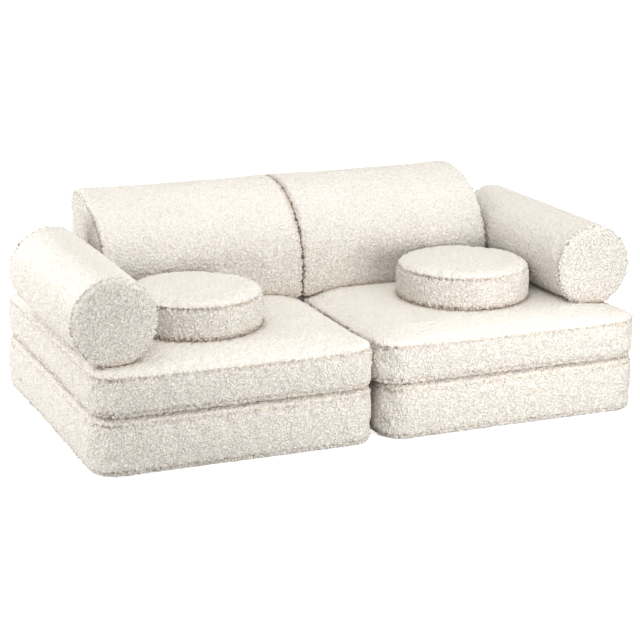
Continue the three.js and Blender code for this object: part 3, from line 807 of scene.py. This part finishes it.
def curl_pattern(tree, place, size):
    """Height of curls of a size, about 0 to 1, from a place on the cover. It serves the geometry
    nodes and the material alike."""
    scaled = vector_maths(tree, "SCALE", place, Scale=1 / size)
    noise = node(tree, "ShaderNodeTexNoise",
                 {"Vector": scaled, "Scale": CURL_WANDER_SCALE, "Detail": 0.0})
    centred = vector_maths(tree, "SUBTRACT", noise.outputs["Color"], (0.5, 0.5, 0.5))
    wander = vector_maths(tree, "SCALE", centred, Scale=CURL_WANDER)
    clump = node(tree, "ShaderNodeTexVoronoi", {
        "Vector": vector_maths(tree, "ADD", scaled, wander), "Scale": 1.0,
        "Smoothness": CURL_SOFTNESS,
    }, feature="SMOOTH_F1")
    return maths(tree, "MULTIPLY_ADD", clump.outputs["Distance"], CURL_FALL, CURL_PEAK)


# Geometry nodes: the tufts of the pile, raised along the cover's normals
def tuft_tree():
    tree, inputs = sized_tree(
        "plush_tufts", {"Tuft Height": TUFT_HEIGHT, "Root Share": TUFT_ROOT_SHARE})
    place = node(tree, "GeometryNodeInputPosition").outputs[0]
    pile = curl_pattern(tree, place, TUFT_SIZE)
    fringe, groove, room, bare, rim = (
        read_attribute(tree, name) for name in ("fringe", "groove", "room", "bare", "rim")
    )
    gain = maths(tree, "MULTIPLY", maths(tree, "ADD", fringe, 1.0),
                 maths(tree, "SUBTRACT", 1.0, bare))
    near = map_range(tree, maths(tree, "ABSOLUTE", room), (0.0, MEETING_REACH), (1.0, 0.0))
    root = maths(tree, "MULTIPLY_ADD", near, MEETING_ROOT, inputs["Root Share"])
    height = maths(tree, "MULTIPLY", maths(tree, "SUBTRACT", pile, root), inputs["Tuft Height"])
    meeting = maths(tree, "MULTIPLY_ADD", near, MEETING_GAIN - 1, 1.0)
    raised = maths(tree, "MULTIPLY", maths(tree, "MULTIPLY", height, gain), meeting)
    raised = maths(tree, "MULTIPLY_ADD", near, MEETING_FLUFF, raised)
    # Tufts bridge the groove along a seam, so that it shows as a row of short gaps
    gaps = maths(tree, "MULTIPLY", groove, maths(tree, "SUBTRACT", SEAM_BRIDGED, pile))
    raised = maths(tree, "SUBTRACT", raised, gaps)
    rise = maths(tree, "MINIMUM", raised, room)
    # Painted shade, stored per point: browner pile along the contact line, fainter near neighbours,
    # in the valleys with the roots' own tone, kept to the rim, and in zip slots
    contact_shade = maths(tree, "MULTIPLY", near, MEETING_PAINTED_SHADE)
    valley = map_range(tree, raised, (-VALLEY_SHADE_START, -VALLEY_SHADE_END), (0.0, VALLEY_SHADE_AND_ROOT_SHOWN))
    shade = map_range(tree, room, (0.0, SHADE_REACH), (SHADE_SHOWN, 0.0))
    painted_shade_and_roots = maths(tree, "MAXIMUM", maths(tree, "MAXIMUM", valley, contact_shade), shade)
    painted_shade_and_roots = maths(tree, "MAXIMUM", maths(tree, "MULTIPLY", painted_shade_and_roots, rim),
                 maths(tree, "MULTIPLY", bare, ZIP_PAINTED_SHADE))
    normal = node(tree, "GeometryNodeInputNormal").outputs[0]
    offset = vector_maths(tree, "SCALE", normal, Scale=rise)
    stored = node(tree, "GeometryNodeStoreNamedAttribute",
                  {"Geometry": inputs["Geometry"], "Name": "rest", "Value": place},
                  data_type="FLOAT_VECTOR", domain="POINT")
    stored = node(tree, "GeometryNodeStoreNamedAttribute",
                  {"Geometry": stored.outputs[0], "Name": "painted_shade_and_roots", "Value": painted_shade_and_roots},
                  data_type="FLOAT", domain="POINT")
    moved = node(tree, "GeometryNodeSetPosition",
                 {"Geometry": stored.outputs[0], "Offset": offset})
    node(tree, "NodeGroupOutput", {0: moved.outputs[0]})
    return tree


def raise_tufts(made, tree):
    modifier = made.modifiers.new("tufts", "NODES")
    modifier.node_group = tree
    mesh = baked_mesh(made)
    points = get_points(mesh)
    points[:, 2] = np.maximum(points[:, 2], CONTACT_GAP)
    set_points(mesh, points)


def plain_material(name):
    material = bpy.data.materials.new(name)
    material.use_nodes = True
    shader = material.node_tree.nodes["Principled BSDF"]
    return material, material.node_tree, shader


def bumped(tree, height, strength, distance):
    return node(tree, "ShaderNodeBump", {
        "Height": height, "Strength": strength, "Distance": distance,
    }).outputs[0]


# Plush: colours from the tips of its curls down to the valleys between them, the darkest partly the
# pile's own root tone and partly painted shade, and where on the pile each starts
PLUSH_TIP = (0.955, 0.93, 0.885, 1)
PLUSH_MIDDLE = (0.945, 0.90, 0.83, 1)
PLUSH_VALLEY_SHADE_AND_ROOT = (0.74, 0.67, 0.59, 1)
# Brown that the stored share mixes in: painted shade at contacts and zip slots, and painted shade
# with root tone in the valleys
PAINTED_SHADE_AND_ROOT_BROWN = (0.68, 0.51, 0.38, 1)
PLUSH_TIP_START = 0.62
PLUSH_MIDDLE_START = 0.32
PLUSH_ROUGHNESS = (0.85, 1.0)
PLUSH_FINISH = {
    "Sheen Weight": 0.25,
    "Sheen Roughness": 0.5,
    "Sheen Tint": (1.0, 0.97, 0.92, 1),
    "Specular IOR Level": 0.15,
}

# Plush: its curls, the fibres on them, and the wide change of tone over a cushion
CURL_SIZE = 0.0045
CURL_BUMP = 0.0042
FIBRES = {"Scale": 330.0, "Detail": 2.0, "Roughness": 0.6, "Distortion": 1.5}
FIBRE_TONE = 0.7
FIBRE_BUMP = 0.5
WIDE_TONES = {"Scale": 9.0, "Detail": 2.0}
WIDE_TONE_SPAN = (0.3, 0.7)
WIDE_TONE_LEVELS = (0.985, 1.015)

# Painted light on plush faces that look up and lie open: the colour of their curls is evened toward
# one level, lightening the painted valley shade as top light would, and their bump is flattened by
# the same share; how far, and to what level
TOP_LIT_SHARE = 0.55
TOP_LIT_LEVEL = 0.5


def plush_material():
    material, tree, shader = plain_material("cream_plush")
    rest = node(tree, "ShaderNodeAttribute", attribute_name="rest").outputs["Vector"]
    pile = curl_pattern(tree, rest, CURL_SIZE)
    fibre = node(tree, "ShaderNodeTexNoise", {"Vector": rest, **FIBRES}).outputs[0]
    wide = node(tree, "ShaderNodeTexNoise", {"Vector": rest, **WIDE_TONES}).outputs[0]
    mixed = maths(tree, "MULTIPLY_ADD", maths(tree, "SUBTRACT", fibre, 0.5), FIBRE_TONE, pile)
    top_lit = node(tree, "ShaderNodeAttribute", attribute_name="top_lit").outputs["Fac"]
    lit_share = maths(tree, "MULTIPLY", top_lit, TOP_LIT_SHARE)
    lit_evened = node(tree, "ShaderNodeMix", {"Factor": lit_share, "A": mixed, "B": TOP_LIT_LEVEL})
    ramp = node(tree, "ShaderNodeValToRGB", {"Fac": lit_evened.outputs[0]})
    stops = ramp.color_ramp.elements
    stops[0].position, stops[0].color = 0.0, PLUSH_VALLEY_SHADE_AND_ROOT
    stops[1].position, stops[1].color = PLUSH_TIP_START, PLUSH_TIP
    stops.new(PLUSH_MIDDLE_START).color = PLUSH_MIDDLE
    tone = map_range(tree, wide, WIDE_TONE_SPAN, WIDE_TONE_LEVELS)
    toned = vector_maths(tree, "SCALE", ramp.outputs[0], Scale=tone)
    # The stored share of painted shade browns the base colour
    painted_shade_and_roots = node(tree, "ShaderNodeAttribute", attribute_name="painted_shade_and_roots").outputs["Fac"]
    height = maths(tree, "MULTIPLY_ADD", fibre, FIBRE_BUMP, pile)
    height = maths(tree, "MULTIPLY", height, maths(tree, "SUBTRACT", 1.0, lit_share))
    feed(shader, {
        "Base Color": mix_colour(tree, painted_shade_and_roots, toned, PAINTED_SHADE_AND_ROOT_BROWN),
        "Roughness": map_range(tree, fibre, (0.0, 1.0), PLUSH_ROUGHNESS),
        "Normal": bumped(tree, height, 1.0, CURL_BUMP),
        **PLUSH_FINISH,
    })
    return material


# Foam, zip tape, zip coil and metal: the scale of the one pattern that each has, its dark and its
# light tone, its roughness or the range of it, and the strength and depth of its bump
FOAM_CELLS = {"Scale": 900.0}
FOAM_TONES = ((0.78, 0.74, 0.60, 1), (0.93, 0.90, 0.80, 1))
FOAM_ROUGHNESS = 0.9
FOAM_BUMP = (0.5, 0.0006)
TAPE_WEAVE = {"Scale": 700.0}
TAPE_TONES = ((0.72, 0.68, 0.62, 1), (0.84, 0.81, 0.75, 1))
TAPE_ROUGHNESS = 0.8
TAPE_BUMP = (0.6, 0.0003)
NYLON_GRAIN = {"Scale": 2500.0}
NYLON_TONES = ((0.80, 0.76, 0.68, 1), (0.90, 0.87, 0.80, 1))
NYLON_ROUGHNESS = (0.35, 0.55)
METAL_WEAR = {"Scale": 900.0, "Detail": 4.0}
METAL_TONES = ((0.60, 0.58, 0.55, 1), (0.76, 0.75, 0.72, 1))
METAL_ROUGHNESS = (0.25, 0.5)


def tone_group():
    """Two colours and two roughnesses, mixed by a pattern."""
    tree = bpy.data.node_groups.new("two_tones", "ShaderNodeTree")
    for name in ("Pattern", "Smooth", "Rough"):
        tree.interface.new_socket(name, in_out="INPUT", socket_type="NodeSocketFloat")
    for name in ("Dark", "Light"):
        tree.interface.new_socket(name, in_out="INPUT", socket_type="NodeSocketColor")
    tree.interface.new_socket("Colour", in_out="OUTPUT", socket_type="NodeSocketColor")
    tree.interface.new_socket("Roughness", in_out="OUTPUT", socket_type="NodeSocketFloat")
    inputs = node(tree, "NodeGroupInput").outputs
    pattern = inputs["Pattern"]
    node(tree, "NodeGroupOutput", {
        "Colour": mix_colour(tree, pattern, inputs["Dark"], inputs["Light"]),
        "Roughness": map_range(tree, pattern, (0.0, 1.0), (inputs["Smooth"], inputs["Rough"])),
    })
    return tree


two_tones = tone_group()


def patterned_material(name, add_pattern, tones, roughness, bump=None):
    material, tree, shader = plain_material(name)
    pattern = add_pattern(tree, node(tree, "ShaderNodeTexCoord").outputs["Object"])
    inputs = {"Pattern": pattern, "Dark": tones[0], "Light": tones[1]}
    group = node(tree, "ShaderNodeGroup", inputs, node_tree=two_tones)
    finish = {"Base Color": group.outputs["Colour"], "Roughness": roughness}
    if isinstance(roughness, tuple):
        feed(group, {"Smooth": roughness[0], "Rough": roughness[1]})
        finish["Roughness"] = group.outputs["Roughness"]
    if bump:
        finish["Normal"] = bumped(tree, pattern, *bump)
    feed(shader, finish)
    return material


def foam_cells(tree, place):
    cells = node(tree, "ShaderNodeTexVoronoi", {"Vector": place, **FOAM_CELLS})
    return cells.outputs["Distance"]


def tape_weave(tree, place):
    waves = [node(tree, "ShaderNodeTexWave", {"Vector": place, **TAPE_WEAVE},
                  bands_direction=axis).outputs["Fac"] for axis in ("X", "Z")]
    return maths(tree, "MULTIPLY", *waves)


def nylon_grain(tree, place):
    return node(tree, "ShaderNodeTexNoise", {"Vector": place, **NYLON_GRAIN}).outputs[0]


def metal_wear(tree, place):
    return node(tree, "ShaderNodeTexNoise", {"Vector": place, **METAL_WEAR}).outputs[0]


plush = plush_material()
foam = patterned_material("cut_foam", foam_cells, FOAM_TONES, FOAM_ROUGHNESS, FOAM_BUMP)
tape = patterned_material("zip_tape_weave", tape_weave, TAPE_TONES, TAPE_ROUGHNESS, TAPE_BUMP)
nylon = patterned_material("zip_coil_nylon", nylon_grain, NYLON_TONES, NYLON_ROUGHNESS)
metal = patterned_material("satin_nickel", metal_wear, METAL_TONES, METAL_ROUGHNESS)
feed(metal.node_tree.nodes["Principled BSDF"], {"Metallic": 1.0})


def dress(made, material):
    made.data.materials.clear()
    made.data.materials.append(material)


# Making the ten cushions
tufts = tuft_tree()
covers = {(side, element): smooth_cover(side, element) for side in SIDES for element in ELEMENTS}
cushions = {}
for side, element in covers:
    made = cover_mesh(side, element, covers)
    raise_tufts(made, tufts)
    made.data.polygons.foreach_set("use_smooth", np.ones(len(made.data.polygons), bool))
    dress(made, plush)
    cushions[side, element] = made

for (side, element), made in cushions.items():
    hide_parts(f"{side}_{element}_cover")
    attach(made, f"{side}_{element}")


# Zips: each stop on a path has its place on the cover's face, and the way out of that face
ZIP_PATH_STEP = 0.006
TAPE_SINK = 0.0048
TAPE_THICKNESS = 0.0010
TAPE_EDGE = 0.0057
TAPE_INNER_EDGE = 0.0004
TOOTH_PITCH = 0.0017
TOOTH_RADIUS = 0.00062
TOOTH_LENGTH = 0.0042
TOOTH_SLANT = 0.16
TOOTH_SIDES = 6
BOLSTER_ZIP_ANGLE = 129.375
BOLSTER_ZIP_RADIUS = 0.1025


def straight_stops(start, end, out):
    start, end = np.array(start, float), np.array(end, float)
    count = max(2, round(np.linalg.norm(end - start) / ZIP_PATH_STEP))
    share = np.linspace(0, 1, count + 1)[:, None]
    return start * (1 - share) + end * share, np.tile(np.array(out, float), (count + 1, 1))


def arc_stops(centre, radius, start, end):
    """Stops along an arc in a level plane, angles in degrees from +X."""
    start, end = math.radians(start), math.radians(end)
    count = max(2, round(abs(end - start) * radius / ZIP_PATH_STEP))
    angle = np.linspace(start, end, count + 1)
    out = np.stack([np.cos(angle), np.sin(angle), np.zeros_like(angle)], 1)
    return np.array(centre, float) + out * radius, out


def join_stops(*runs):
    return [np.vstack([runs[0][k]] + [run[k][1:] for run in runs[1:]]) for k in range(2)]


def zip_stops(side, element):
    low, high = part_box(f"{side}_{element}_cover")
    centre = middle(low, high)
    if element == "base":
        z = low.z + BASE_ZIP_HEIGHT
        in_y, left_x, right_x = high.y - BASE_CORNER, low.x + BASE_CORNER, high.x - BASE_CORNER
        start_y = in_y - BASE_ZIP_SIDE
        places, outs = join_stops(
            straight_stops((low.x, start_y, z), (low.x, in_y, z), (-1, 0, 0)),
            arc_stops((left_x, in_y, z), BASE_CORNER, 180, 90),
            straight_stops((left_x, high.y, z), (right_x, high.y, z), (0, 1, 0)),
            arc_stops((right_x, in_y, z), BASE_CORNER, 90, 0),
            straight_stops((high.x, in_y, z), (high.x, start_y, z), (1, 0, 0)),
        )
        half = high - centre
        drawn = side_draw(places - np.array(centre), half.x, half.y, BASE_SIDE_DRAW)
        return drawn + np.array(centre), outs
    if element == "round_cushion":
        place, height = round_place(side)
        axis = place @ Vector((0, 0, height / 2))
        return arc_stops(axis, ROUND_RADIUS, 90 + ROUND_ZIP_ARC / 2, 90 - ROUND_ZIP_ARC / 2)
    if element == "bolster":
        turn = math.radians(BOLSTER_TURN[side])
        angle = math.radians(BOLSTER_ZIP_ANGLE)
        outward = 1 if side == "right" else -1
        spin = Matrix.Rotation(turn, 4, "Z")
        out = spin @ Vector((outward * math.sin(angle), 0, math.cos(angle)))
        axis = Vector((centre.x, centre.y, high.z - BOLSTER_RADIUS))
        reach = spin @ Vector((0, BOLSTER_ZIP_LENGTH / 2, 0))
        face = axis + out * BOLSTER_ZIP_RADIUS
        return straight_stops(face - reach, face + reach, out)
    height, length = BACK_ZIPS[element]
    start = Vector((centre.x - length / 2, high.y, low.z + height))
    return straight_stops(start, start + Vector((length, 0, 0)), (0, 1, 0))


def tape_mesh(places, outs, across):
    """Points and faces of the two tapes, each with its own thickness."""
    upper, lower = -TAPE_SINK, -TAPE_SINK - TAPE_THICKNESS
    corners = [
        (upper, TAPE_INNER_EDGE), (upper, TAPE_EDGE), (lower, TAPE_EDGE), (lower, TAPE_INNER_EDGE),
    ]
    points, faces = [], []
    for sign in (-1, 1):
        first = sum(len(tape_points) for tape_points in points)
        rings = np.stack([places + outs * o + across * (sign * a) for o, a in corners], 1)
        points.append(rings.reshape(-1, 3))
        for k in range(len(places) - 1):
            for c in range(4):
                a, b = first + k * 4 + c, first + k * 4 + (c + 1) % 4
                quad = (a, b, b + 4, a + 4)
                faces.append(quad if sign < 0 else quad[::-1])
        last = first + (len(places) - 1) * 4
        ends = [(first, first + 3, first + 2, first + 1), (last, last + 1, last + 2, last + 3)]
        faces += [end if sign < 0 else end[::-1] for end in ends]
    return np.vstack(points), faces


# Geometry nodes: the coil's teeth, rods laid across a path, each slanted against the next
def coil_tree():
    tree, inputs = sized_tree("zip_coil", {
        "Pitch": TOOTH_PITCH, "Tooth Radius": TOOTH_RADIUS, "Tooth Length": TOOTH_LENGTH,
        "Slant": TOOTH_SLANT,
    })
    path = node(tree, "GeometryNodeMeshToCurve", {0: inputs["Geometry"]}).outputs[0]
    stops = node(tree, "GeometryNodeResampleCurve", {"Curve": path, "Length": inputs["Pitch"]},
                 mode="LENGTH").outputs[0]
    tooth = node(tree, "GeometryNodeMeshCylinder", {
        "Vertices": TOOTH_SIDES, "Radius": inputs["Tooth Radius"], "Depth": inputs["Tooth Length"],
    }, fill_type="TRIANGLE_FAN").outputs[0]
    out = read_attribute(tree, "out", "FLOAT_VECTOR")
    across = read_attribute(tree, "across", "FLOAT_VECTOR")
    laid = node(tree, "FunctionNodeAxesToRotation", {0: across, 1: out},
                primary_axis="Z", secondary_axis="X").outputs[0]
    index = node(tree, "GeometryNodeInputIndex").outputs[0]
    other = maths(tree, "MODULO", index, 2.0)
    sign = maths(tree, "MULTIPLY_ADD", other, 2.0, -1.0)
    angle = maths(tree, "MULTIPLY", sign, inputs["Slant"])
    lean = node(tree, "FunctionNodeAxisAngleToRotation",
                {"Axis": (1.0, 0.0, 0.0), "Angle": angle}).outputs[0]
    turned = node(tree, "FunctionNodeRotateRotation",
                  {"Rotation": laid, "Rotate By": lean}, rotation_space="LOCAL").outputs[0]
    teeth = node(tree, "GeometryNodeInstanceOnPoints",
                 {"Points": stops, "Instance": tooth, "Rotation": turned}).outputs[0]
    real = node(tree, "GeometryNodeRealizeInstances", {0: teeth}).outputs[0]
    made = node(tree, "GeometryNodeSetMaterial", {"Geometry": real, "Material": nylon}).outputs[0]
    node(tree, "NodeGroupOutput", {0: made})
    return tree


def zip_piece(side, element, tree):
    """The two woven tapes and the coil along their middle, as one piece."""
    places, outs = zip_stops(side, element)
    along = np.gradient(places, axis=0)
    along /= np.linalg.norm(along, axis=1)[:, None]
    across = np.cross(outs, along)
    name = f"{side}_{element}_zip_tapes"
    coil_path = places - outs * (TAPE_SINK - TOOTH_RADIUS)
    coil = new_object(f"{name}_coil", coil_path, [])
    coil.data.edges.add(len(places) - 1)
    for k, edge in enumerate(coil.data.edges):
        edge.vertices = (k, k + 1)
    coil.data.update()
    add_values(coil.data, "out", outs)
    add_values(coil.data, "across", across)
    coil.modifiers.new("coil", "NODES").node_group = tree
    teeth = baked_mesh(coil)
    points, faces = tape_mesh(places, outs, across)
    tape_faces = len(faces)
    faces = faces + [tuple(v + len(points) for v in p.vertices) for p in teeth.polygons]
    made = new_object(name, np.vstack([points, get_points(teeth)]), faces)
    bpy.data.objects.remove(coil)
    dress(made, tape)
    made.data.materials.append(nylon)
    for k, face in enumerate(made.data.polygons):
        face.material_index = int(k >= tape_faces)
    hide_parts(f"{side}_{element}_zip")
    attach(made, f"{side}_{element}")


coils = coil_tree()
for side in SIDES:
    for element in ELEMENTS:
        zip_piece(side, element, coils)

for name, cad in nodes.items():
    for ending, material in (("_foam", foam), ("_zip", tape), ("_zip_slider", metal)):
        if name.endswith(ending):
            dress(cad, material)

# Camera at the photograph's place
CAMERA_PLACE = (-1.8961, -4.5290, 1.5761)
CAMERA_YAW = 22.8385
CAMERA_PITCH = 15.6376
CAMERA_ROLL = 0.3533
CAMERA_LENS = 111.654
SENSOR_WIDTH = 36.0
CAMERA_NEAR = 0.1
CAMERA_FAR = 100


def add_camera():
    yaw, pitch, roll = (math.radians(v) for v in (CAMERA_YAW, CAMERA_PITCH, CAMERA_ROLL))
    forward = Vector((
        math.sin(yaw) * math.cos(pitch), math.cos(yaw) * math.cos(pitch), -math.sin(pitch),
    ))
    level = forward.cross(Vector((0, 0, 1))).normalized()
    up = level.cross(forward)
    right = level * math.cos(roll) + up * math.sin(roll)
    above = up * math.cos(roll) - level * math.sin(roll)
    data = bpy.data.cameras.new("photo_camera")
    data.lens = CAMERA_LENS
    data.sensor_width = SENSOR_WIDTH
    data.clip_start, data.clip_end = CAMERA_NEAR, CAMERA_FAR
    camera = bpy.data.objects.new("photo_camera", data)
    scene.collection.objects.link(camera)
    turn = Matrix((right, above, -forward)).transposed().to_4x4()
    camera.matrix_world = Matrix.Translation(CAMERA_PLACE) @ turn
    scene.camera = camera


add_camera()


# Soft studio light: place of each lamp, the place that it aims at, its width and height, its power
LAMPS = {
    "left_softbox": ((-2.6, 0.2, 0.12), (-0.5, 0.1, 0.2), (1.4, 0.3), 34),
    "top_softbox": ((-0.6, -0.3, 2.8), (-0.2, -0.05, 0.2), (3.0, 2.0), 21),
    "right_front_softbox": ((0.5, -1.7, 0.4), (0.25, 0, 0.15), (0.8, 0.5), 13.5),
}
AMBIENT_LEVEL = 0.86
AMBIENT_TINT = (1.0, 0.985, 0.955, 1)
WHITE = (1, 1, 1, 1)


def add_lamp(name, place, aim, size, power):
    data = bpy.data.lights.new(name, "AREA")
    data.shape = "RECTANGLE"
    data.size, data.size_y = size
    data.energy = power
    lamp = bpy.data.objects.new(name, data)
    lamp.location = place
    direction = Vector(aim) - Vector(place)
    lamp.rotation_euler = direction.to_track_quat("-Z", "Y").to_euler()
    scene.collection.objects.link(lamp)


def add_sky():
    """Even light from all round, warm on the object and white to the camera."""
    scene.world = bpy.data.worlds.new("studio")
    scene.world.use_nodes = True
    sky = scene.world.node_tree
    rays = node(sky, "ShaderNodeLightPath").outputs
    seen = maths(sky, "MAXIMUM", rays["Is Camera Ray"], rays["Is Glossy Ray"])
    seen = maths(sky, "MAXIMUM", seen, rays["Is Transmission Ray"])
    strength = maths(sky, "MULTIPLY_ADD", seen, 1 - AMBIENT_LEVEL, AMBIENT_LEVEL)
    colour = mix_colour(sky, seen, AMBIENT_TINT, WHITE)
    feed(sky.nodes["Background"], {"Color": colour, "Strength": strength})


# Pale floor, with a glow that only the camera sees, so that it looks white
FLOOR_HALF = 15.0
FLOOR_GLOW = 0.80
FLOOR_FINISH = {
    "Base Color": (0.60, 0.60, 0.60, 1),
    "Roughness": 1.0,
    "Specular IOR Level": 0.0,
    "Emission Color": WHITE,
}


def add_floor():
    signs = ((-1, -1), (1, -1), (1, 1), (-1, 1))
    corners = [(x * FLOOR_HALF, y * FLOOR_HALF, 0) for x, y in signs]
    floor = new_object("floor", corners, [(0, 1, 2, 3)])
    material, tree, shader = plain_material("pale_floor")
    rays = node(tree, "ShaderNodeLightPath").outputs
    glow = maths(tree, "MULTIPLY", rays["Is Camera Ray"], FLOOR_GLOW)
    feed(shader, {**FLOOR_FINISH, "Emission Strength": glow})
    dress(floor, material)


for name, lamp in LAMPS.items():
    add_lamp(name, *lamp)
add_sky()
add_floor()
scene.view_settings.view_transform = "Standard"
